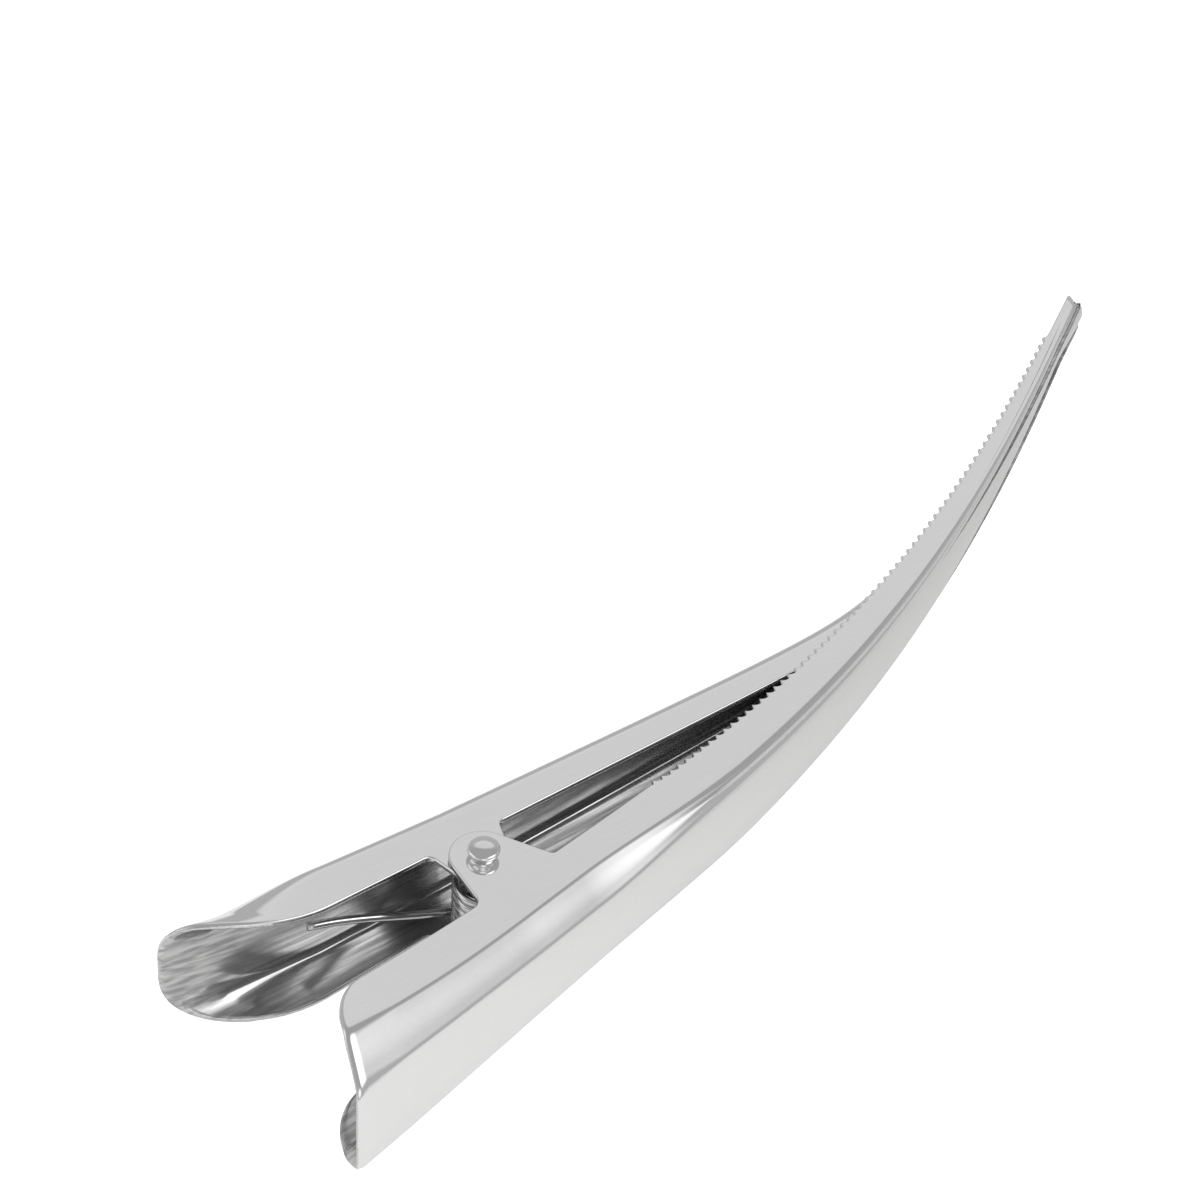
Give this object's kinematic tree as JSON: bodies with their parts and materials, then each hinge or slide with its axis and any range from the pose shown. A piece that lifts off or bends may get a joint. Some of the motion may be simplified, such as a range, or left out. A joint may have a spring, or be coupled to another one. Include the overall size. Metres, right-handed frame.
{
  "type": "alligator hair clip",
  "caption": "Long curved alligator hair clip: a toothed outer jaw and a nested inner jaw on one rivet, held shut by a torsion spring.",
  "frame": {"origin": "under the middle of the clip's bounding box, on the surface that it lies on", "axes": "X along the straight back of the inner jaw with the tip at +X, -Y towards the outer jaw's back, Z along the hinge axis; the clip lies on its side"},
  "size_m": [0.1214, 0.0522, 0.0168],
  "materials": {
    "plated_sheet": "bright nickel-chrome plate on formed sheet steel",
    "plated_rivet": "bright plated steel",
    "spring_wire": "plated spring steel wire, drawn"
  },
  "bodies": {
    "outer_jaw": {"outer_jaw": "plated_sheet", "hinge_rivet": "plated_rivet", "torsion_spring": "spring_wire"},
    "inner_jaw": {"inner_jaw": "plated_sheet"}
  },
  "joints": [
    {"name": "jaw_hinge", "type": "hinge", "parent": "outer_jaw", "child": "inner_jaw", "pos_m": [-0.03257, -0.00868, 0.0084], "axis": [0, 0, 1], "range_deg": [0, 35], "stiffness_Nm_per_rad": 0.12, "springref_deg": -28.65, "deforming": ["torsion_spring"]}
  ]
}
